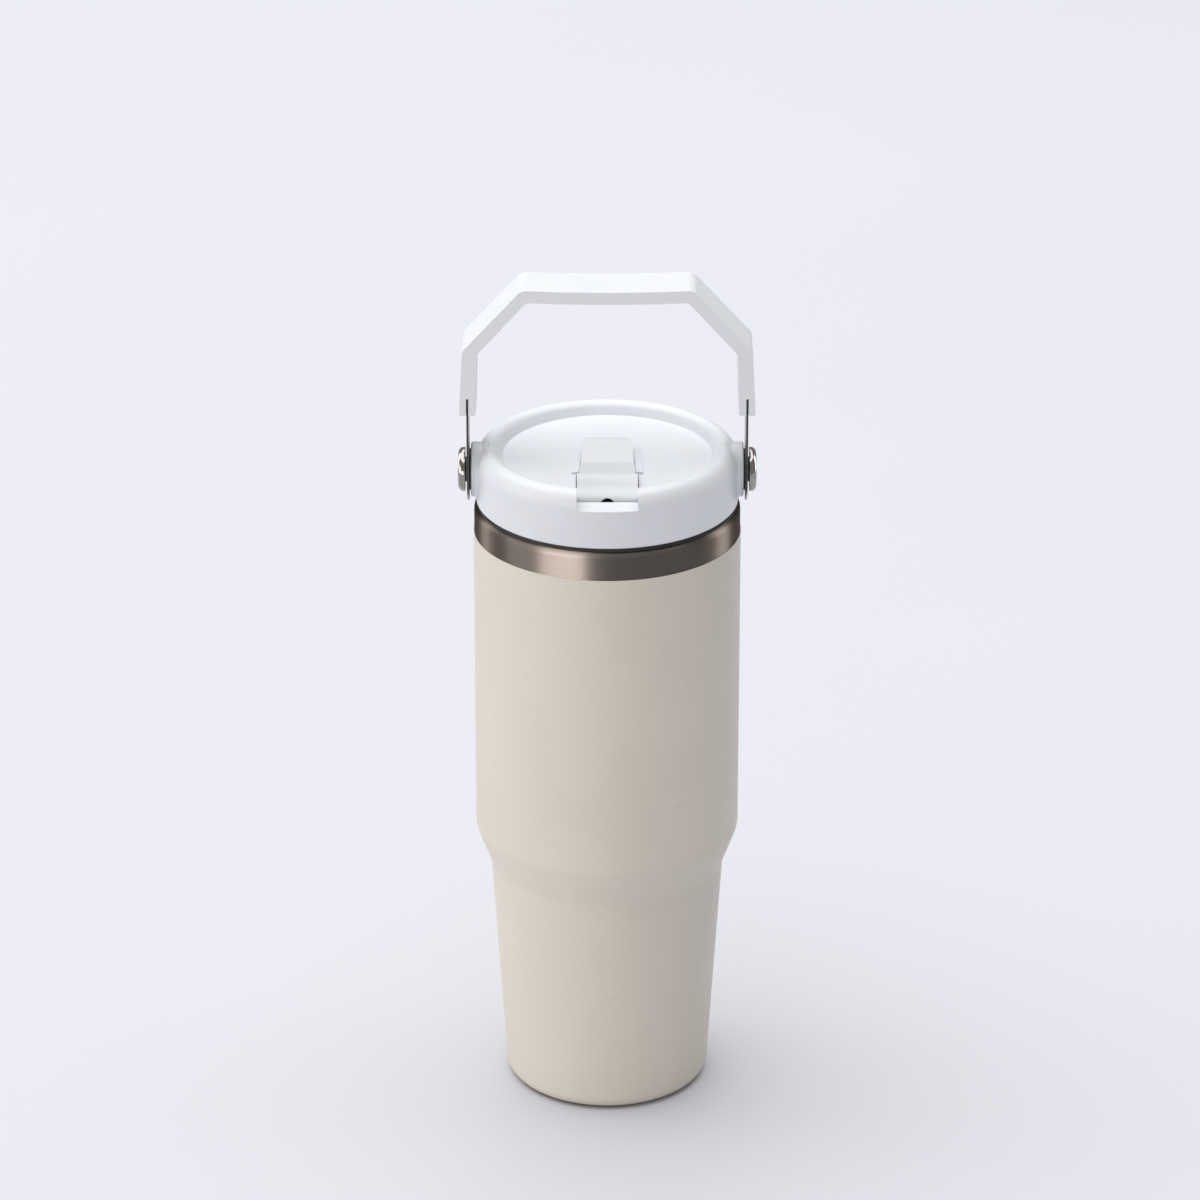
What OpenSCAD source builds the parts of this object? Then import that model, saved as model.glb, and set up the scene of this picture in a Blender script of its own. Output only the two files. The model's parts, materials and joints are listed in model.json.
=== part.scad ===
// Insulated steel tumbler with a screw-in flip-spout straw lid and a swinging carry handle.
// Millimetres. The cup stands on z = 0, +Z is up, the spout's pivot is on the -Y side of the lid.

/* [Cup] */
// Outer diameter of the straight upper wall
body_d = 90; // [74:1:108]
// Height of the steel rim
rim_h = 214.3; // [178:0.1:258]
// Height of the top of the lower cone
cone_h = 82; // [68:0.5:99]
// Height of the sloping step above the cone
step_h = 13.7; // [11:0.1:17]
// How far the top of the cone lies inside the straight wall
step_in = 5.1; // [3:0.1:7]
// How far the cone draws in from its top to the ground
cone_in = 5.2; // [3:0.1:7]
// Rounding of the bottom edge
foot_r = 5; // [3:0.5:6]
// Height of the bare steel band under the rim
band_h = 9.6; // [8:0.1:12]

/* [Walls] */
// Thickness of the powder coat
coat_t = 0.25; // [0.15:0.05:0.4]
// Sheet thickness of the outer shell and the base plate
shell_t = 0.5; // [0.4:0.05:0.7]
// Sheet thickness of the liner
liner_t = 0.5; // [0.4:0.05:0.7]
// Vacuum gap between the shell and the liner
vacuum_gap = 3.2; // [2.5:0.1:4]
// Height of the liner's floor, inside the cup
floor_h = 10; // [9:0.5:14]

/* [Base] */
// Radius of the recess inside the standing ring
recess_r = 27; // [21:0.5:28]
// Depth of that recess
recess_h = 3; // [2.6:0.1:3.6]
// Thickness of the cap that covers the pump-out hole
cap_t = 2; // [1.6:0.1:2.2]
// Diameter of the pump-out hole
pump_d = 3; // [2:0.2:4]
// Diameter of the getter tablet
getter_d = 10; // [7:0.5:12]

/* [Lid] */
// Height of the lid from its lower edge to its crest
lid_h = 19.35; // [17.5:0.05:24]
// How far the lid's side lies inside the cup's side
lid_inset = 1; // [0.5:0.1:1.5]
// Width of the raised rim, from the lid's side to the dish
rim_w = 8.9; // [8:0.1:11]
// Depth of the dish below the rim's crest
dish_d = 3.8; // [3:0.1:4.4]
// Wall of the lid cover
cover_t = 2.2; // [1.8:0.1:2.6]
// Height of the gasket between the rim and the lid
gasket_h = 1.35; // [1:0.05:2]
// Thickness of the plate that closes the lid from below
plate_t = 1.75; // [1.5:0.05:2]
// How deep the plug reaches into the neck
plug_h = 16; // [12:0.5:20]
// Gap between the plug's wall and the neck
plug_gap = 1.6; // [1.3:0.1:2.2]
// Number of thread starts on the plug
thread_starts = 3; // [2:1:4]
// Height gained by the thread in one turn
thread_lead = 9; // [6:0.5:12]

/* [Spout] */
// Distance of the spout's pivot from the lid's side
spout_inset = 18; // [17.5:0.5:20]
// Radius of the spout's barrel
barrel_r = 8; // [7:0.1:8.4]
// Width of the barrel
barrel_w = 20.2; // [18:0.1:26]
// Reach of the spout from its pivot to its tip
arm_l = 31; // [26:0.5:34]
// Width of the spout next to the barrel
arm_w = 18.7; // [16:0.1:19]
// Width of the spout at its tip
tip_w = 16; // [13:0.1:16]
// Diameter of the drinking passage
passage_d = 5.5; // [4:0.1:6]
// Diameter of the spout's hinge pins
spout_pin_d = 3; // [2:0.1:3.6]

/* [Straw] */
// Outer diameter of the straw
straw_d = 7.2; // [6.6:0.1:8.4]
// Wall of the straw
straw_t = 0.8; // [0.6:0.05:1]
// Gap between the straw's end and the liner's floor
straw_lift = 9; // [6:0.5:14]

/* [Handle] */
// Height of the handle's top above its pivot
handle_h = 67.2; // [56:0.1:81]
// Width of the grip along the rim's front-to-back direction
grip_w = 18; // [15:0.5:22]
// Thickness of the top bar
bar_t = 4.3; // [3.6:0.1:5.2]
// Half length of the flat top bar
bar_half = 28.5; // [24:0.5:32]
// Height of the sloping shoulders
shoulder_h = 21.5; // [16:0.1:24]
// How far the top bar dips in the middle
bar_dip = 1; // [0.5:0.1:2]
// Thickness of the grip's legs
leg_t = 5.6; // [4.4:0.1:6.4]
// Height of the legs' lower ends above the pivot
leg_z = 22.8; // [20:0.1:26]
// Thickness of the steel straps
strap_t = 0.7; // [0.6:0.1:1.4]
// Radius of the strap's eye
eye_r = 10.4; // [8.6:0.1:12]
// Radius of the round side pad that carries the pivot
pad_r = 9.25; // [8:0.05:10]
// How far the side pad stands out from the lid's side
pad_out = 1.6; // [1:0.1:2.4]
// Diameter of the pivot screw's shoulder
shoulder_d = 5; // [4.4:0.1:6]
// Diameter of the pivot screw's head
head_d = 15; // [12:0.5:18]
// Thickness of each washer
washer_t = 0.55; // [0.4:0.05:0.8]

/* [Clearances] */
// Running gap on each side of a piece that turns
run_gap = 0.3; // [0.2:0.05:0.5]
// Gap between flat pieces that slide on each other
slide_gap = 0.05; // [0.05:0.05:0.15]
// Gap around a pin in its bore
pin_gap = 0.1; // [0.05:0.05:0.2]
// Gap around pieces that are assembled and stay still
fit_gap = 0.05; // [0.05:0.05:0.15]
// Gap between the thread's crest and the neck
thread_gap = 0.35; // [0.3:0.05:0.5]

/* [Hidden] */
$fn = 128;
arc_steps = 10;

cream = [0.78, 0.75, 0.71];
white = [0.93, 0.93, 0.95];
steel = [0.62, 0.60, 0.58];
chrome = [0.80, 0.80, 0.82];
dark_rubber = [0.13, 0.12, 0.12];
clear_grey = [0.72, 0.74, 0.76];
brass = [0.78, 0.62, 0.33];

// cup
body_r = body_d / 2;
waist_r = body_r - step_in;
base_r = waist_r - cone_in;
step_top = cone_h + step_h;
waist_round = 8;
shoulder_round = 11;
rim_round = 2.2;
coat_top = rim_h - band_h;
coat_foot = 0.4;
wall_t = coat_t + shell_t + vacuum_gap + liner_t;
neck_r = body_r - wall_t;
liner_round = 8;

// base
plate_z = recess_h;
bead_r = 4;
bead_h = 1;
getter_h = 1.6;
getter_y = recess_r / 2;

// lid
lid_r = body_r - lid_inset;
lid_z = rim_h + gasket_h;
crest_z = lid_z + lid_h;
crest_in = 4.25;
crest_r = lid_r - crest_in;
brow_h = 6;
dish_z = crest_z - dish_d;
dish_r = lid_r - rim_w;
cover_in_r = lid_r - cover_t;
plug_r = neck_r - plug_gap;
plug_t = 2;
thread_r = neck_r - thread_gap;
thread_span = 70;
thread_h = 1.8;
lip_z = crest_z - brow_h;

// spout
spout_y = spout_inset - lid_r;
spout_z = lid_z + plate_t + 1 + run_gap + barrel_r;
pocket_x = barrel_w / 2 + run_gap;
pocket_front = spout_y - barrel_r - 1.6;
pocket_back = spout_y + barrel_r + 1;
pocket_floor = spout_z - barrel_r - run_gap;
cheek_t = 2.5;
arm_root = 7;
arm_bottom = -6.2;
scoop_y = 14;
scoop_z = barrel_r - 1.7;
face_low = 8;
face_high = 100;
face_cut = 1.6;
face_lead = 0.05;
tip_top = barrel_r + 0.9;
slot_l = arm_l + 1.3;
slot_floor = spout_z + arm_bottom - run_gap;
collar_w = 2.3;
collar_h = 0.8;
pin_in = 2.7;

// flow path below the spout
seal_r = 5.4;
seal_up = 4;
seal_down = 1;
seal_gap = 0.2;
flange_t = 2;
ledge_z = lid_z - seal_down - flange_t;
nipple_l = 10;
socket_r = 8.2;
socket_h = 7;
vent_y = 18;
vent_r = 1.2;
vent_flap_r = 4;

// handle
pivot_up = 10.35;
pivot_z = lid_z + pivot_up;
pad_x = lid_r + pad_out;
strap_x = pad_x + washer_t + slide_gap;
outer_washer_x = strap_x + strap_t + slide_gap;
head_x = outer_washer_x + washer_t;
strap_w = grip_w - 1;
notch_h = 6;
tongue_w = strap_w * 0.6;
tongue_h = 11;
insert_r = 3.4;
insert_l = 7.8;
insert_x = pad_x - slide_gap * 4 - insert_l;
screw_thread_d = 4;
boss_r = 5;
hub_w = 1.7;
head_t = 2.4;
pad_round = 0.7;

// A vector scaled to length 1
function unit(v) = v / norm(v);

// Arc of radius r that rounds the corner b between its neighbours a and c
function corner(a, b, c, r) =
    let (u = unit(a - b), v = unit(c - b), half = acos(u * v) / 2)
    let (m = b + unit(u + v) * r / sin(half))
    let (p = b + u * r / tan(half) - m, q = b + v * r / tan(half) - m)
    let (from = atan2(p.y, p.x), turn = atan2(p.x * q.y - p.y * q.x, p * q))
    [for (i = [0:arc_steps]) m + r * [cos(from + turn * i / arc_steps), sin(from + turn * i / arc_steps)]];

// Closed outline whose points are [x, y, rounding]
function rounded(p) =
    let (n = len(p))
    [for (i = [0:n - 1])
        let (a = p[(i + n - 1) % n], b = p[i], c = p[(i + 1) % n])
        each (b[2] == 0 ? [[b.x, b.y]] : corner([a.x, a.y], [b.x, b.y], [c.x, c.y], b[2]))];

// Point where a line from p touches the circle of radius r about the origin, on the side away from x
function touch_point(r, p) = let (a = atan2(p.y, p.x) + acos(r / norm(p))) r * [cos(a), sin(a)];

// A list read backwards
function reversed(p) = [for (i = [len(p) - 1:-1:0]) p[i]];

// Radius of the cone at height z
function cone_r(z) = base_r + cone_in * z / cone_h;

// Points [radius, height, rounding] of the cup's side, drawn in by inset, from the foot to the height top
function cup_side(inset, foot, foot_round, top) = [
    [cone_r(foot) - inset, foot, foot_round],
    [waist_r - inset, cone_h, waist_round],
    [body_r - inset, step_top, shoulder_round],
    top
];

module revolve(outline) rotate_extrude() polygon(outline);

// Copies a right-hand piece, or its mirror image for the left
module on_side(side) mirror([side < 0 ? 1 : 0, 0, 0]) children();

// Cylinder along +X that starts at x
module rod_x(r, x, l) translate([x, 0, 0]) rotate([0, 90, 0]) cylinder(r = r, h = l);

// ---- cup ----

module outer_shell() {
    in = coat_t + shell_t;
    outside = cup_side(coat_t, 0, foot_r, [body_r - coat_t, rim_h, rim_round]);
    inside = cup_side(in, shell_t, foot_r - shell_t, [body_r - in, rim_h - shell_t, rim_round - shell_t]);
    rim = [[neck_r + liner_t, rim_h, 0], [neck_r + liner_t, rim_h - shell_t, 0]];
    ring = [[recess_r, shell_t, 0], [recess_r, 0, 0]];
    color(steel) revolve(rounded(concat(outside, rim, reversed(inside), ring)));
}

module powder_coat() {
    outside = cup_side(0, 0, foot_r, [body_r, coat_top, 0]);
    inside = cup_side(coat_t, 0, foot_r, [body_r - coat_t, coat_top, 0]);
    ring = [[recess_r + shell_t, 0, 0], [recess_r + shell_t + coat_t, 0, 0]];
    color(cream) difference() {
        revolve(rounded(concat(outside, reversed(inside), ring)));
        translate([0, 0, -1]) cylinder(r = body_r, h = 1 + coat_foot);
    }
}

module inner_liner() {
    inside = cup_side(wall_t, floor_h, liner_round, [neck_r, rim_h, 0]);
    lip = [neck_r + liner_t, rim_h, 0];
    outside = cup_side(wall_t - liner_t, floor_h - liner_t, liner_round + liner_t, lip);
    axis = [[0, floor_h - liner_t, 0], [0, floor_h, 0]];
    color(steel) revolve(rounded(concat(inside, reversed(outside), axis)));
}

module vacuum_base() {
    color(steel) revolve(rounded([
        [pump_d / 2, plate_z, 0],
        [recess_r - shell_t, plate_z, 0],
        [recess_r - shell_t, 0, 0],
        [recess_r, 0, 0],
        [recess_r, plate_z + shell_t, 0.8],
        [pump_d / 2, plate_z + shell_t, 0]
    ]));
}

module getter() {
    color(dark_rubber) translate([0, getter_y, plate_z + shell_t]) cylinder(d = getter_d, h = getter_h);
}

module sealing_bead() {
    color(clear_grey) revolve(rounded([
        [0, plate_z - bead_h, 0],
        [bead_r, plate_z - bead_h, 0.8],
        [bead_r, plate_z, 0],
        [pump_d / 2, plate_z, 0],
        [pump_d / 2, plate_z + shell_t, 0],
        [0, plate_z + shell_t, 0]
    ]));
}

module base_cap() {
    cap_r = recess_r - shell_t - fit_gap;
    dimple_r = bead_r + fit_gap;
    color(dark_rubber) revolve(rounded([
        [0, plate_z - cap_t, 0],
        [cap_r, plate_z - cap_t, 0.5],
        [cap_r, plate_z, 0],
        [dimple_r, plate_z, 0],
        [dimple_r, plate_z - bead_h - fit_gap, 0],
        [0, plate_z - bead_h - fit_gap, 0]
    ]));
}

// ---- lid ----

// Outer form of the lid: upright side, round shoulder, crest and shallow dish
module cover_form() {
    crest_round = dish_d;
    crest_turn = 55;
    outer_edge = [for (i = [0:arc_steps])
        let (a = 90 * i / arc_steps)
        [crest_r + (lid_r - crest_r) * cos(a), crest_z - brow_h + brow_h * sin(a)]];
    inner_edge = [for (i = [1:arc_steps])
        let (a = 90 + crest_turn * i / arc_steps)
        [crest_r + crest_round * cos(a), crest_z - crest_round + crest_round * sin(a)]];
    revolve(concat([[0, lid_z], [lid_r - 0.5, lid_z], [lid_r, lid_z + 0.5]], outer_edge, inner_edge,
        [[dish_r, dish_z], [0, dish_z]]));
}

module cover_hollow() {
    revolve([
        [0, lid_z - 1],
        [cover_in_r, lid_z - 1],
        [cover_in_r, crest_z - 4.5],
        [crest_r, crest_z - cover_t],
        [crest_r - 2.2, crest_z - cover_t],
        [dish_r - 1, dish_z - cover_t],
        [0, dish_z - cover_t]
    ]);
}

// Upright block in plan from y0 to y1, x wide to each side, with round corners
module plan_block(x, y0, y1, z0, z1, round_r) {
    translate([0, 0, z0]) linear_extrude(z1 - z0)
        polygon(rounded([[x, y0, round_r], [x, y1, round_r], [-x, y1, round_r], [-x, y0, round_r]]));
}

// Block that follows the arm's plan, wider by margin on each side, from the pivot to y1 behind it
module slot_block(margin, y1, z0, z1, round_r) {
    w = arm_w / 2 + margin;
    t = tip_w / 2 + margin;
    translate([0, spout_y, z0]) linear_extrude(z1 - z0) polygon(rounded([
        [w, 0, 0], [w, arm_root, 0], [t, y1, round_r], [-t, y1, round_r], [-w, arm_root, 0], [-w, 0, 0]
    ]));
}

// Walls of the spout's pocket, the arm's slot and the front lip
module pocket_walls() {
    block_z = lid_z + plate_t;
    intersection() {
        cover_form();
        union() {
            plan_block(pocket_x + cheek_t, pocket_front - cover_t, pocket_back + cover_t,
                block_z, crest_z, 1);
            slot_block(run_gap + collar_w, slot_l + collar_w, block_z, crest_z, 4);
            plan_block(pocket_x + cheek_t, -lid_r - 1, pocket_front, lip_z - cover_t, crest_z, 0);
        }
    }
}

module pocket_cuts() {
    top = crest_z + 5;
    plan_block(pocket_x, pocket_front, pocket_back, pocket_floor, top, 0.6);
    slot_block(run_gap, slot_l, slot_floor, top, 3);
    plan_block(barrel_w / 2, -lid_r - 2, pocket_front + 1, lip_z, top, 0);
}

module collar() {
    difference() {
        slot_block(run_gap + collar_w, slot_l + collar_w, dish_z - 1, dish_z + collar_h, 4);
        plan_block(lid_r, -lid_r, pocket_back, 0, crest_z + 1, 0);
    }
}

// Round pad about the pivot, with a soft outer edge
module side_pad() {
    rotate([0, 90, 0]) revolve(rounded([
        [0, cover_in_r, 0],
        [pad_r, cover_in_r, 0],
        [pad_r, pad_x, pad_round],
        [0, pad_x, 0]
    ]));
}

module lid_cover() {
    color(white) difference() {
        union() {
            difference() {
                cover_form();
                cover_hollow();
            }
            pocket_walls();
            collar();
            for (side = [-1, 1]) on_side(side) translate([0, 0, pivot_z]) {
                side_pad();
                rod_x(boss_r, insert_x - 2, cover_in_r - insert_x + 2);
            }
        }
        pocket_cuts();
        translate([0, spout_y, lid_z]) cylinder(r = seal_r + fit_gap, h = barrel_r);
        for (side = [-1, 1]) on_side(side) {
            translate([0, spout_y, spout_z]) rod_x(spout_pin_d / 2, 0, pocket_x + cheek_t - 0.5);
            translate([0, 0, pivot_z]) rod_x(insert_r, insert_x, insert_l + 2);
        }
    }
}

// One thread land, a short arc of ring tilted to the thread's lead angle
module thread_land() {
    tilt = atan(thread_lead / (2 * PI * plug_r));
    land = [
        [plug_r - 0.5, -thread_h / 2],
        [thread_r, -thread_h / 4],
        [thread_r, thread_h / 4],
        [plug_r - 0.5, thread_h / 2]
    ];
    rotate([tilt, 0, 0]) rotate([0, 0, -thread_span / 2]) rotate_extrude(angle = thread_span) polygon(land);
}

module lid_plug() {
    thread_z = rim_h - plug_h / 2;
    color(white) difference() {
        union() {
            revolve(rounded([
                [0, lid_z, 0],
                [plug_r - plug_t, lid_z, 0],
                [plug_r - plug_t, rim_h - plug_h, 0.5],
                [plug_r, rim_h - plug_h, 0.9],
                [plug_r, lid_z, 0],
                [cover_in_r - fit_gap, lid_z, 0],
                [cover_in_r - fit_gap, lid_z + plate_t, 0],
                [0, lid_z + plate_t, 0]
            ]));
            for (i = [0:thread_starts - 1])
                translate([0, 0, thread_z]) rotate([0, 0, 90 + i * 360 / thread_starts]) thread_land();
            translate([0, spout_y, lid_z - socket_h]) cylinder(r = socket_r, h = socket_h + plate_t / 2);
        }
        translate([0, spout_y, ledge_z]) cylinder(r = seal_r + fit_gap, h = lid_z + plate_t - ledge_z + 1);
        translate([0, spout_y, lid_z - socket_h - 1]) cylinder(r = straw_d / 2 + pin_gap, h = socket_h + 1);
        translate([0, vent_y, lid_z - 1]) cylinder(r = vent_r + fit_gap, h = plate_t + 2);
    }
}

module lid_gasket() {
    color(dark_rubber) revolve(rounded([
        [plug_r + run_gap, rim_h, 0],
        [lid_r - 0.4, rim_h, 0.3],
        [lid_r - 0.1, rim_h + gasket_h / 2, 0.3],
        [lid_r - 0.4, lid_z, 0.3],
        [plug_r + run_gap, lid_z, 0]
    ]));
}

module vent_valve() {
    color(dark_rubber) translate([0, vent_y, 0]) revolve(rounded([
        [0, lid_z - 1, 0],
        [vent_flap_r, lid_z - 0.5, 0.2],
        [vent_flap_r, lid_z, 0],
        [vent_r, lid_z, 0],
        [vent_r, lid_z + plate_t, 0],
        [vent_flap_r / 2, lid_z + plate_t, 0],
        [vent_r, lid_z + plate_t + 1.6, 0.4],
        [0, lid_z + plate_t + 1.6, 0]
    ]));
}

// ---- spout and straw ----

// Side view of the spout's arm: it leaves the barrel at a tangent, dips, and rises to the tip
module arm_side() {
    polygon(rounded([
        [0, arm_bottom, 0],
        [arm_l, arm_bottom, 2.5],
        [arm_l, tip_top, 1],
        [arm_l - 2, tip_top, 0.8],
        [scoop_y, scoop_z, 10],
        concat(touch_point(barrel_r, [scoop_y, scoop_z]), 0),
        [0, 0, 0]
    ]));
}

module arm_plan() {
    w = arm_w / 2;
    t = tip_w / 2;
    polygon(rounded([
        [w, 0, 0], [w, arm_root, 0], [t, arm_l, 3], [-t, arm_l, 3], [-w, arm_root, 0], [-w, 0, 0]
    ]));
}

// Cut that flattens the barrel's upper front, from face_low to face_high degrees above its front.
// It starts face_lead outside the barrel, so that it meets the round wall at an angle.
module face_shave() {
    span = face_high - face_low;
    cut = [for (i = [0:2 * arc_steps])
        let (t = i / (2 * arc_steps), a = face_low + span * t)
        let (r = barrel_r + face_lead - (face_cut + face_lead) * sin(180 * t) ^ 2)
        [-r * cos(a), r * sin(a)]];
    outside = [for (a = [face_high, face_low + span / 2, face_low])
        1.4 * barrel_r * [-cos(a), sin(a)]];
    rotate([90, 0, 90]) linear_extrude(barrel_w + 2, center = true) polygon(concat(cut, outside));
}

module flip_spout() {
    color(white) translate([0, spout_y, spout_z]) difference() {
        union() {
            difference() {
                rod_x(barrel_r, -barrel_w / 2, barrel_w);
                face_shave();
            }
            intersection() {
                rotate([90, 0, 90]) linear_extrude(arm_w, center = true) arm_side();
                translate([0, 0, -20]) linear_extrude(40) arm_plan();
            }
        }
        rotate([-90, 0, 0]) translate([0, 0, -barrel_r - 1])
            cylinder(d = passage_d, h = barrel_r + arm_l + 2);
        rotate([-90, 0, 0]) translate([0, 0, arm_l - 3]) cylinder(d = passage_d + 2, h = 4);
        for (side = [-1, 1]) on_side(side)
            rod_x(spout_pin_d / 2 + pin_gap, barrel_w / 2 - pin_in, pin_in + 1);
    }
}

module spout_pin(side) {
    start = barrel_w / 2 - pin_in + pin_gap;
    end = pocket_x + cheek_t - 0.5;
    color(steel) on_side(side) translate([0, spout_y, spout_z]) rod_x(spout_pin_d / 2, start, end - start);
}

module left_spout_pin() spout_pin(-1);

module right_spout_pin() spout_pin(1);

// Silicone seat: its hollow top follows the barrel, its passage meets the spout's when that stands up
module spout_seal() {
    color(clear_grey) difference() {
        translate([0, spout_y, lid_z - seal_down]) cylinder(r = seal_r, h = seal_down + seal_up);
        translate([0, spout_y, spout_z]) rod_x(barrel_r + seal_gap, -barrel_r * 2, barrel_r * 4);
        translate([0, spout_y, lid_z - seal_down - 1]) cylinder(d = passage_d, h = seal_up + 4);
    }
}

module straw_connector() {
    nipple_r = straw_d / 2 - straw_t - fit_gap;
    color(white) translate([0, spout_y, 0]) difference() {
        union() {
            translate([0, 0, ledge_z]) cylinder(r = seal_r, h = flange_t);
            translate([0, 0, ledge_z - nipple_l]) cylinder(r = nipple_r, h = nipple_l + 0.5);
        }
        translate([0, 0, ledge_z - nipple_l - 1])
            cylinder(r = nipple_r - 0.65, h = nipple_l + flange_t + 2);
    }
}

module straw() {
    low = floor_h + straw_lift;
    color(clear_grey) translate([0, spout_y, low]) difference() {
        cylinder(d = straw_d, h = ledge_z - low);
        translate([0, 0, -1]) cylinder(d = straw_d - 2 * straw_t, h = ledge_z - low + 2);
    }
}

// ---- handle ----

module handle_grip() {
    leg_out = strap_x + strap_t / 2 + leg_t / 2;
    leg_in = leg_out - leg_t;
    bar_z = handle_h - bar_t;
    knee_z = handle_h - shoulder_h;
    right_side = [
        [leg_out, leg_z, 1],
        [leg_out - 1.2, knee_z, 3.5],
        [bar_half, handle_h, 4]
    ];
    right_hollow = [
        [bar_half - 1.7, bar_z, 2],
        [leg_in - 0.5, knee_z - 1.2, 2],
        [leg_in, leg_z, 1]
    ];
    dip_r = 0.8 * bar_half ^ 2 / bar_dip;
    left = function (p) [for (q = reversed(p)) [-q.x, q.y, q[2]]];
    outline = rounded(concat(
        right_side, [[0, handle_h - bar_dip, dip_r]], left(right_side),
        left(right_hollow), [[0, bar_z - bar_dip, dip_r]], right_hollow
    ));
    color(white) translate([0, 0, pivot_z]) difference() {
        rotate([90, 0, 0]) linear_extrude(grip_w, center = true) polygon(outline);
        for (side = [-1, 1]) on_side(side) {
            translate([strap_x - fit_gap, -grip_w, leg_z - 1])
                cube([strap_t + 2 * fit_gap, 2 * grip_w, notch_h + 1]);
            translate([strap_x - fit_gap, -tongue_w / 2 - fit_gap, leg_z])
                cube([strap_t + 2 * fit_gap, tongue_w + 2 * fit_gap, notch_h + tongue_h]);
        }
    }
}

module handle_strap(side) {
    w = strap_w / 2;
    t = tongue_w / 2;
    shoulder_z = leg_z + notch_h;
    touch = touch_point(eye_r, [leg_z, w]);
    color(steel) on_side(side) translate([strap_x, 0, pivot_z]) rotate([90, 0, 90]) difference() {
        union() {
            cylinder(r = eye_r, h = strap_t);
            linear_extrude(strap_t) polygon([
                [0, 0], [-touch.y, touch.x], [-w, leg_z], [-w, shoulder_z], [-t, shoulder_z],
                [-t, shoulder_z + tongue_h], [t, shoulder_z + tongue_h], [t, shoulder_z], [w, shoulder_z],
                [w, leg_z], [touch.y, touch.x]
            ]);
        }
        translate([0, 0, -1]) cylinder(r = shoulder_d / 2 + pin_gap, h = strap_t + 2);
    }
}

module left_handle_strap() handle_strap(-1);

module right_handle_strap() handle_strap(1);

module washer(side, x, r) {
    color(dark_rubber) on_side(side) translate([0, 0, pivot_z]) difference() {
        rod_x(r, x, washer_t);
        rod_x(shoulder_d / 2 + fit_gap, x - 1, washer_t + 2);
    }
}

module left_inner_washer() washer(-1, pad_x, head_d / 2 - 0.5);

module right_inner_washer() washer(1, pad_x, head_d / 2 - 0.5);

module left_outer_washer() washer(-1, outer_washer_x, shoulder_d / 2 + hub_w);

module right_outer_washer() washer(1, outer_washer_x, shoulder_d / 2 + hub_w);

// Shoulder screw with a wide button head
module pivot_screw(side) {
    seat_x = insert_x + insert_l;
    head_r = head_d / 2;
    color(chrome) on_side(side) translate([0, 0, pivot_z]) rotate([0, 90, 0]) revolve(rounded([
        [0, insert_x + 1, 0],
        [screw_thread_d / 2, insert_x + 1, 0.4],
        [screw_thread_d / 2, seat_x, 0],
        [shoulder_d / 2, seat_x, 0],
        [shoulder_d / 2, head_x, 0],
        [head_r, head_x, 0.2],
        [head_r, head_x + head_t, head_t - 0.5],
        [0, head_x + head_t + 0.2, 0]
    ]));
}

module left_pivot_screw() pivot_screw(-1);

module right_pivot_screw() pivot_screw(1);

module threaded_insert(side) {
    color(brass) on_side(side) translate([0, 0, pivot_z]) difference() {
        rod_x(insert_r, insert_x, insert_l);
        rod_x(screw_thread_d / 2, insert_x - 1, insert_l + 2);
    }
}

module left_threaded_insert() threaded_insert(-1);

module right_threaded_insert() threaded_insert(1);

outer_shell();
powder_coat();
inner_liner();
vacuum_base();
getter();
sealing_bead();
base_cap();
lid_cover();
lid_plug();
lid_gasket();
vent_valve();
flip_spout();
left_spout_pin();
right_spout_pin();
spout_seal();
straw_connector();
straw();
handle_grip();
left_handle_strap();
right_handle_strap();
left_inner_washer();
right_inner_washer();
left_outer_washer();
right_outer_washer();
left_pivot_screw();
right_pivot_screw();
left_threaded_insert();
right_threaded_insert();
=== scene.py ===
import json
from math import cos, pi, radians, sin, sqrt

import bmesh
import bpy
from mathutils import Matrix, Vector


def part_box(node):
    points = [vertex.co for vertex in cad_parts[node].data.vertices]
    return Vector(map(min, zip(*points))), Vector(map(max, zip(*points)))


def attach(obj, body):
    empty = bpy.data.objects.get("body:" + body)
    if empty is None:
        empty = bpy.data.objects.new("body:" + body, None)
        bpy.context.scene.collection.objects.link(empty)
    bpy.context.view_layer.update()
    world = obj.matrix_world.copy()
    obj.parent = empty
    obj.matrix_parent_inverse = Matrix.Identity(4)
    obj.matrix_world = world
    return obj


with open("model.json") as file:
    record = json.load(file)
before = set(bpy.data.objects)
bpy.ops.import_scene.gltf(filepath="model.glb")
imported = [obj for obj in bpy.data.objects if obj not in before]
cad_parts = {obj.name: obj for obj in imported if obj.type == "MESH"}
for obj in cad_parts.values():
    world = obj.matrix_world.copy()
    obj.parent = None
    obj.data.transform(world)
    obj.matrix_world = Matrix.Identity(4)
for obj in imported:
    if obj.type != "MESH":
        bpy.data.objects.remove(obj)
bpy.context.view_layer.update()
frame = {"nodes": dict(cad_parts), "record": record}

nodes = frame["nodes"]
scene = bpy.context.scene
MM = 0.001


# ---- node materials ----

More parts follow.
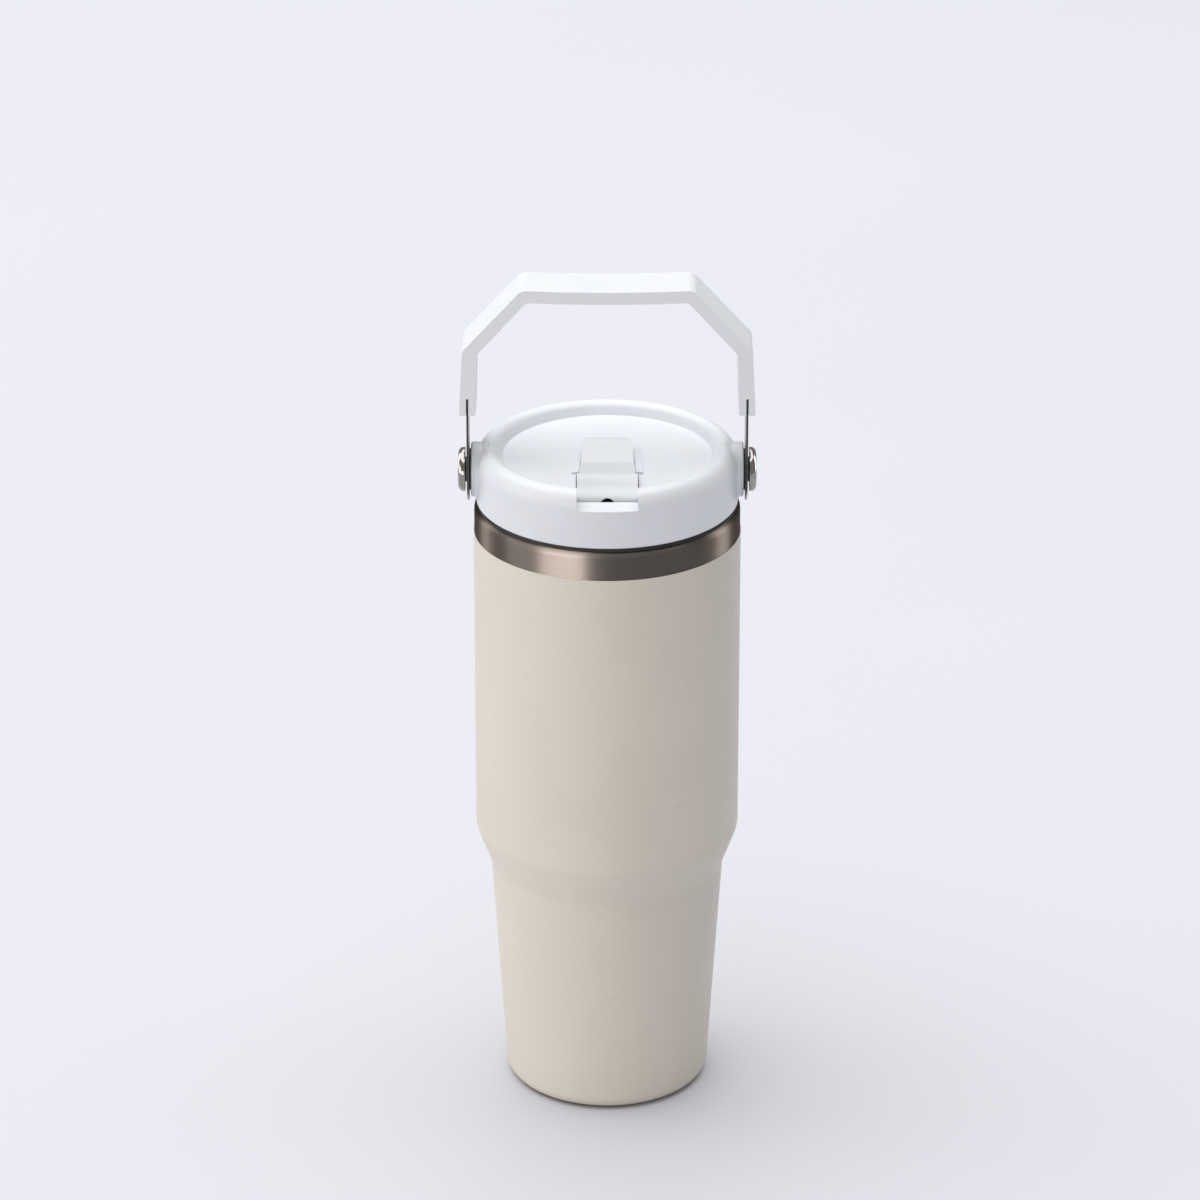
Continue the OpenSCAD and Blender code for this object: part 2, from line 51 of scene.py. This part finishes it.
class Look:
    """A procedural material: a Principled shader and short ways to add nodes to it."""

    def __init__(self, name, color, roughness, metallic=0.0):
        self.material = bpy.data.materials.new(name)
        self.material.use_nodes = True
        self.tree = self.material.node_tree
        self.shader = self.tree.nodes["Principled BSDF"]
        self.shader.inputs["Base Color"].default_value = (*color, 1)
        self.shader.inputs["Roughness"].default_value = roughness
        self.shader.inputs["Metallic"].default_value = metallic
        self.place = self.add("ShaderNodeTexCoord").outputs["Object"]

    def add(self, kind, **settings):
        node = self.tree.nodes.new(kind)
        for key, value in settings.items():
            setattr(node, key, value)
        return node

    def link(self, out, into):
        self.tree.links.new(out, into)

    def set(self, **values):
        for key, value in values.items():
            self.shader.inputs[key.replace("_", " ")].default_value = value

    def noise(self, scale, detail=3.0, stretch=(1, 1, 1), rough=0.5):
        """Noise over the object's own space; scale is in cycles per metre."""
        mapping = self.add("ShaderNodeMapping")
        mapping.inputs["Scale"].default_value = stretch
        self.link(self.place, mapping.inputs["Vector"])
        noise = self.add("ShaderNodeTexNoise")
        noise.inputs["Scale"].default_value = scale
        noise.inputs["Detail"].default_value = detail
        noise.inputs["Roughness"].default_value = rough
        self.link(mapping.outputs["Vector"], noise.inputs["Vector"])
        return noise.outputs["Fac"]

    def ramp(self, fac, low, high, at=(0.35, 0.65)):
        """Two colours, blended by fac between the two places."""
        ramp = self.add("ShaderNodeValToRGB")
        for element, place, color in zip(ramp.color_ramp.elements, at, (low, high)):
            element.position = place
            element.color = (*color, 1)
        self.link(fac, ramp.inputs["Fac"])
        return ramp.outputs["Color"]

    def remap(self, fac, low, high):
        """fac, from 0.3 to 0.7, spread over low to high."""
        spread = self.add("ShaderNodeMapRange")
        for key, value in (("From Min", 0.3), ("From Max", 0.7), ("To Min", low), ("To Max", high)):
            spread.inputs[key].default_value = value
        self.link(fac, spread.inputs["Value"])
        return spread.outputs["Result"]

    def color(self, out):
        self.link(out, self.shader.inputs["Base Color"])

    def roughness(self, out):
        self.link(out, self.shader.inputs["Roughness"])

    def bump(self, height, distance):
        """Adds a bump of that depth in metres on top of any bump before it."""
        bump = self.add("ShaderNodeBump")
        bump.inputs["Distance"].default_value = distance
        self.link(height, bump.inputs["Height"])
        normal = self.shader.inputs["Normal"]
        if normal.links:
            self.link(normal.links[0].from_socket, bump.inputs["Normal"])
        self.link(bump.outputs["Normal"], normal)


def shade(color, factor):
    return tuple(min(1.0, c * factor) for c in color)


def powder_coat_look():
    cream = (0.612, 0.566, 0.484)
    look = Look("cream_powder_coat", cream, 0.42)
    # Painted light: the cream is made lighter towards the bottom, from z = 0 up to 0.11 m, standing in
    # for light bounced up from the floor.
    axes = look.add("ShaderNodeSeparateXYZ")
    look.link(look.place, axes.inputs["Vector"])
    height = look.add("ShaderNodeMapRange")
    height.inputs["From Max"].default_value = 0.11
    look.link(axes.outputs["Z"], height.inputs["Value"])
    painted_lower_light = look.add("ShaderNodeMix", data_type="RGBA")
    look.link(height.outputs["Result"], painted_lower_light.inputs["Factor"])
    cloud = look.noise(22, 4)
    look.link(look.ramp(cloud, shade(cream, 1.01), shade(cream, 1.05)), painted_lower_light.inputs["A"])
    look.link(look.ramp(cloud, shade(cream, 0.98), shade(cream, 1.02)), painted_lower_light.inputs["B"])
    scuff = look.noise(1.0, 5, stretch=(90, 90, 240), rough=0.6)
    marks = look.add("ShaderNodeMix", data_type="RGBA")
    look.link(look.remap(scuff, 0.4, -2.6), marks.inputs["Factor"])
    marks.inputs["B"].default_value = (*shade(cream, 0.9), 1)
    look.link(painted_lower_light.outputs["Result"], marks.inputs["A"])
    look.color(marks.outputs["Result"])
    look.roughness(look.remap(look.noise(160, 3), 0.36, 0.47))
    look.bump(look.noise(900, 2), 0.00003)
    look.bump(look.noise(2600, 2), 0.00002)
    look.set(Specular_IOR_Level=0.45)
    return look.material


def plastic_look(name, color, roughness=0.36, grain=0.000012):
    look = Look(name, color, roughness)
    look.color(look.ramp(look.noise(35, 3), shade(color, 0.985), shade(color, 1.01)))
    look.roughness(look.remap(look.noise(300, 3), roughness - 0.04, roughness + 0.05))
    look.bump(look.noise(2200, 2), grain)
    look.set(Subsurface_Weight=0.08, Subsurface_Scale=0.002)
    return look.material


def brushed_look(name, color, roughness, stretch, depth=0.000012, anisotropic=0.0):
    """Metal brushed along the axes where stretch is small."""
    look = Look(name, color, roughness, metallic=1.0)
    lines = look.noise(1.0, 4, stretch=stretch, rough=0.7)
    look.color(look.ramp(lines, shade(color, 0.86), shade(color, 1.1)))
    look.roughness(look.remap(lines, roughness - 0.06, roughness + 0.08))
    look.bump(lines, depth)
    if anisotropic:
        tangent = look.add("ShaderNodeTangent", direction_type="RADIAL", axis="Z")
        look.link(tangent.outputs["Tangent"], look.shader.inputs["Tangent"])
        look.set(Anisotropic=anisotropic, Anisotropic_Rotation=0.25, Specular_Tint=(0.4, 0.38, 0.36, 1))
    return look.material


def strap_look():
    """Brushed stamped steel whose sheared edges are rough and painted near black as shade, with a
    painted highlight near their bottom tip.
    """
    look = Look("brushed_strap", (0.3, 0.29, 0.28), 0.32, metallic=1.0)
    lines = look.noise(1.0, 4, stretch=(40, 3500, 40), rough=0.7)
    face = look.ramp(lines, (0.27, 0.26, 0.25), (0.36, 0.35, 0.34))
    facing = look.add("ShaderNodeSeparateXYZ")
    look.link(look.add("ShaderNodeTexCoord").outputs["Normal"], facing.inputs["Vector"])
    side = look.add("ShaderNodeMath", operation="ABSOLUTE")
    look.link(facing.outputs["X"], side.inputs[0])
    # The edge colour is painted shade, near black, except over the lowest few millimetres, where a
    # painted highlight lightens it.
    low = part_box("left_handle_strap")[0][2]
    height = look.add("ShaderNodeSeparateXYZ")
    look.link(look.place, height.inputs["Vector"])
    painted_tip_highlight = look.add("ShaderNodeMapRange", interpolation_type="SMOOTHSTEP")
    painted_tip_highlight.inputs["From Min"].default_value = low + 3 * MM
    painted_tip_highlight.inputs["From Max"].default_value = low + 7 * MM
    look.link(height.outputs["Z"], painted_tip_highlight.inputs["Value"])
    edge = look.ramp(painted_tip_highlight.outputs["Result"], (0.62, 0.60, 0.57), (0.055, 0.05, 0.046), (0, 1))
    mix = look.add("ShaderNodeMix", data_type="RGBA")
    look.link(edge, mix.inputs["A"])
    look.link(side.outputs["Value"], mix.inputs["Factor"])
    look.link(face, mix.inputs["B"])
    look.color(mix.outputs["Result"])
    look.roughness(look.remap(lines, 0.26, 0.4))
    look.bump(lines, 0.000012)
    return look.material


def rubber_look(name, color, roughness=0.6):
    look = Look(name, color, roughness)
    look.color(look.ramp(look.noise(120, 3), shade(color, 0.85), shade(color, 1.2)))
    look.roughness(look.remap(look.noise(500, 2), roughness - 0.08, roughness + 0.08))
    look.bump(look.noise(3000, 2), 0.00002)
    return look.material


def chrome_look():
    look = Look("polished_steel", (0.34, 0.32, 0.30), 0.14, metallic=1.0)
    look.color(look.ramp(look.noise(400, 3), (0.31, 0.29, 0.27), (0.37, 0.35, 0.33)))
    look.roughness(look.remap(look.noise(900, 4), 0.09, 0.16))
    look.bump(look.noise(1500, 2), 0.000001)
    return look.material


def frosted_look(name, color, roughness, transmission):
    look = Look(name, color, roughness)
    look.color(look.ramp(look.noise(60, 3), shade(color, 0.96), shade(color, 1.02)))
    look.roughness(look.remap(look.noise(400, 3), roughness - 0.05, roughness + 0.08))
    look.bump(look.noise(1800, 2), 0.000002)
    look.set(Transmission_Weight=transmission, IOR=1.45)
    return look.material


def brass_look():
    brass = (0.70, 0.52, 0.24)
    look = Look("turned_brass", brass, 0.3, metallic=1.0)
    lines = look.noise(1.0, 3, stretch=(3000, 60, 60))
    look.color(look.ramp(lines, shade(brass, 0.8), shade(brass, 1.1)))
    look.bump(lines, 0.00002)
    return look.material


AROUND_Z = (28, 28, 5200)
WHITE = (0.755, 0.765, 0.79)

LOOKS = {
    "coat": powder_coat_look(),
    "steel": brushed_look("brushed_steel", (0.15, 0.130, 0.113), 0.42, AROUND_Z, anisotropic=1.0),
    "lid_plastic": plastic_look("white_lid_plastic", WHITE),
    # The spout's plastic is the lid's white made darker: painted shade for the shade on its tilted arm.
    "spout_plastic": plastic_look("white_spout_plastic_painted_shade", shade(WHITE, 0.91), 0.34),
    "grip_plastic": plastic_look("white_soft_grip", shade(WHITE, 0.94), 0.45, 0.00002),
    "dark_rubber": rubber_look("dark_rubber", (0.012, 0.011, 0.010)),
    "clear_silicone": frosted_look("translucent_silicone", (0.72, 0.75, 0.78), 0.4, 0.5),
    "straw_plastic": frosted_look("frosted_straw", (0.80, 0.84, 0.88), 0.3, 0.4),
    "strap_steel": strap_look(),
    "pin_steel": brushed_look("ground_pin_steel", (0.55, 0.55, 0.55), 0.28, (2500, 60, 60)),
    "chrome": chrome_look(),
    "washer": rubber_look("dark_nylon", (0.02, 0.02, 0.02), 0.45),
    "brass": brass_look(),
    "getter": brushed_look("sintered_getter", (0.10, 0.10, 0.11), 0.6, (900, 900, 900)),
    "sealant": rubber_look("solder_glass", (0.18, 0.19, 0.21), 0.2),
}


# ---- CAD nodes: smooth shading, small edge rounds and their materials ----

WELD_DISTANCE = 0.002 * MM
SHARP_ANGLE = radians(35)
ROUND_STEPS = 3


def soften(obj, width):
    """Merges the split corners and rounds the sharp edges by that width in metres."""
    weld = obj.modifiers.new("weld", "WELD")
    weld.merge_threshold = WELD_DISTANCE
    if not width:
        split = obj.modifiers.new("edges", "EDGE_SPLIT")
        split.split_angle = SHARP_ANGLE
    else:
        bevel = obj.modifiers.new("bevel", "BEVEL")
        bevel.width = width
        bevel.segments = ROUND_STEPS
        bevel.limit_method = "ANGLE"
        bevel.angle_limit = SHARP_ANGLE
        bevel.miter_outer = "MITER_ARC"
        weighted = obj.modifiers.new("normals", "WEIGHTED_NORMAL")
        weighted.keep_sharp = True
    for face in obj.data.polygons:
        face.use_smooth = True


EDGE_ROUND = {
    "lid_cover": 0.35 * MM, "lid_plug": 0.25 * MM, "flip_spout": 0.45 * MM, "handle_grip": 0.9 * MM,
    "left_handle_strap": 0.12 * MM, "right_handle_strap": 0.12 * MM, "outer_shell": 0.12 * MM,
    "powder_coat": 0.08 * MM, "base_cap": 0.2 * MM,
}

slot_of = {row["node"]: row["material_slot"] for row in frame["record"]["subparts"]}
for name, obj in nodes.items():
    obj.data.materials.clear()
    obj.data.materials.append(LOOKS[slot_of[name]])
    soften(obj, EDGE_ROUND.get(name, 0))


# ---- soft foot of the side pads ----

def ring_mesh(name, rings, body, slot):
    """A closed tube of quads through equal rings of points, the last joined to the first."""
    count = len(rings[0])
    points = [p for ring in rings for p in ring]
    faces = []
    for i in range(len(rings)):
        a, b = i * count, (i + 1) % len(rings) * count
        faces += [(a + j, a + (j + 1) % count, b + (j + 1) % count, b + j) for j in range(count)]
    mesh = bpy.data.meshes.new(name)
    mesh.from_pydata(points, [], faces)
    mesh.materials.append(LOOKS[slot])
    form = bmesh.new()
    form.from_mesh(mesh)
    bmesh.ops.recalc_face_normals(form, faces=form.faces)
    form.to_mesh(mesh)
    form.free()
    mesh.shade_smooth()
    piece = bpy.data.objects.new(name, mesh)
    scene.collection.objects.link(piece)
    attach(piece, body)
    return piece


FOOT_REACH = 1.7 * MM       # how wide the fillet is where nothing limits it
FOOT_LEAST = 0.05 * MM
FOOT_TURNS = 120            # sections around the pad
FOOT_BENDS = 8              # steps along the fillet's curve
BROW = 6 * MM               # height of the lid's rounded upper edge
BROW_DEPTH = 4.25 * MM      # how far it leans in
PAD_RISE = 0.25 * MM        # how far the side pads stand above the lid's crest


def pad_foot(name, side):
    """The moulded fillet between a round side pad and the lid's curved side."""
    low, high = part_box("lid_cover")
    eye_low, eye_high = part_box(f"{name}_inner_washer")
    pivot = (eye_low[2] + eye_high[2]) / 2
    pad = high[2] - pivot
    lid = high[1]
    crest = high[2] - PAD_RISE
    crest_r = lid - BROW_DEPTH

    def lid_x(reach, turn):
        """Where the lid's side lies, at that distance and angle from the pivot."""
        y, z = reach * cos(turn), pivot + reach * sin(turn)
        rise = min(1, max(0, (z - crest + BROW) / BROW))
        radius = crest_r + (lid - crest_r) * sqrt(1 - rise * rise)
        return sqrt(radius * radius - y * y)

    def room(turn):
        """How wide the fillet can be there, inside the lid's height and the pad's length."""
        up = sin(turn)
        if abs(up) < 0.1:
            return FOOT_REACH
        level = crest - 0.4 * MM if up > 0 else low[2] + 0.5 * MM
        to_level = max(FOOT_LEAST, (level - pivot) / up - pad)
        to_face = high[0] - 0.7 * MM - lid_x(pad, turn)
        return min(FOOT_REACH, to_level, to_face)

    rings = []
    for i in range(FOOT_TURNS):
        turn = 2 * pi * i / FOOT_TURNS
        wide = room(turn)
        bend = (lid_x(pad, turn), pad)
        start = (bend[0] + wide, pad)
        end = (lid_x(pad + wide, turn), pad + wide)
        section = []
        for j in range(FOOT_BENDS + 1):
            t = j / FOOT_BENDS
            near, middle, far = (1 - t) ** 2, 2 * t * (1 - t), t * t
            section.append([near * start[k] + middle * bend[k] + far * end[k] for k in (0, 1)])
        section.append([bend[0] - 0.5 * MM, pad - 0.4 * MM])
        section.append([start[0], pad - 0.2 * MM])
        rings.append([(side * x, reach * cos(turn), pivot + reach * sin(turn)) for x, reach in section])
    ring_mesh(f"{name}_pad_foot", rings, "lid", "lid_plastic")


pad_foot("left", -1)
pad_foot("right", 1)


# ---- floor, light and camera ----

def pale_floor():
    bpy.ops.mesh.primitive_plane_add(size=60, location=(0, 0, 0))
    floor = bpy.context.object
    floor.name = "floor"
    look = Look("pale_floor", (0.665, 0.66, 0.70), 0.8)
    look.color(look.ramp(look.noise(3, 2), (0.662, 0.657, 0.696), (0.668, 0.663, 0.704)))
    look.set(Specular_IOR_Level=0.1)
    floor.data.materials.append(look.material)


def soft_box(name, place, aim, size, power, color=(1, 1, 1)):
    data = bpy.data.lights.new(name, "AREA")
    data.shape = "RECTANGLE"
    data.size, data.size_y = size
    data.energy = power
    data.color = color
    light = bpy.data.objects.new(name, data)
    light.location = place
    light.visible_camera = False
    light.rotation_euler = (Vector(aim) - Vector(place)).to_track_quat("-Z", "Y").to_euler()
    scene.collection.objects.link(light)
    return light


WHITE_PIECES = ("lid_cover", "lid_plug", "flip_spout", "left_pad_foot", "right_pad_foot")
WHITE_SHARE = 0.6  # how much of the side lights' power reaches the white pieces
CARD_LEVEL = 0.47
CARD_HEIGHT = 0.9
CARD_COLOR = (1.0, 0.95, 0.93)


def only_on(light, pieces):
    """Lets a light reach these pieces alone, as flags and cards do in a studio."""
    group = bpy.data.collections.new(light.name)
    for piece in pieces:
        group.objects.link(piece)
    light.light_linking.receiver_collection = group


def studio():
    world = bpy.data.worlds.new("studio")
    scene.world = world
    world.use_nodes = True
    background = world.node_tree.nodes["Background"]
    background.inputs["Color"].default_value = (0.97, 0.965, 0.985, 1)
    background.inputs["Strength"].default_value = 0.37
    middle = (0, 0, 0.15)
    warm = (1.0, 0.985, 0.965)
    soft_box("overhead", (-0.5, 0.6, 3.8), middle, (5.5, 5.5), 231, (0.97, 0.985, 1.0))
    pieces = [obj for obj in scene.objects if obj.type == "MESH" and obj.name != "floor"]
    white = [obj for obj in pieces if obj.name in WHITE_PIECES]
    others = [obj for obj in pieces if obj.name not in WHITE_PIECES]
    for name, place, aim, size, power in (
            ("key_left", (-1.5, -0.35, 0.2), middle, (0.9, 0.9), 9.2),
            ("key_front", (-0.7, -1.45, 0.12), (0, 0, 0.08), (1.0, 0.7), 8.3),
            ("rim_right", (1.3, 0.6, 0.3), middle, (0.8, 0.8), 0.5)):
        only_on(soft_box(name, place, aim, size, power, warm), others)
        only_on(soft_box(name + "_on_white", place, aim, size, power * WHITE_SHARE, warm), white)
    shell = [nodes["outer_shell"]]
    metal = shell + [nodes["left_pivot_screw"], nodes["right_pivot_screw"]]
    for name, turn, width, power, lit in (
            ("card_front", -129, 0.73, 25, shell),
            ("card_right", 22, 0.3, 5, metal),
            ("card_left", 147, 0.25, 4, metal)):
        place = (cos(radians(turn)), sin(radians(turn)), CARD_LEVEL)
        size = (width, CARD_HEIGHT)
        only_on(soft_box(name, place, (0, 0, CARD_LEVEL), size, power, CARD_COLOR), lit)
    scene.view_settings.view_transform = "Standard"
    scene.view_settings.look = "None"


def photo_camera():
    data = bpy.data.cameras.new("camera")
    data.sensor_width = 36
    data.lens = 171.0
    camera = bpy.data.objects.new("camera", data)
    camera.location = (-2.434 * MM, -1763.27 * MM, 964.85 * MM)
    camera.rotation_euler = (radians(90 - 24.052), 0, 0)
    scene.collection.objects.link(camera)
    scene.camera = camera


pale_floor()
studio()
photo_camera()
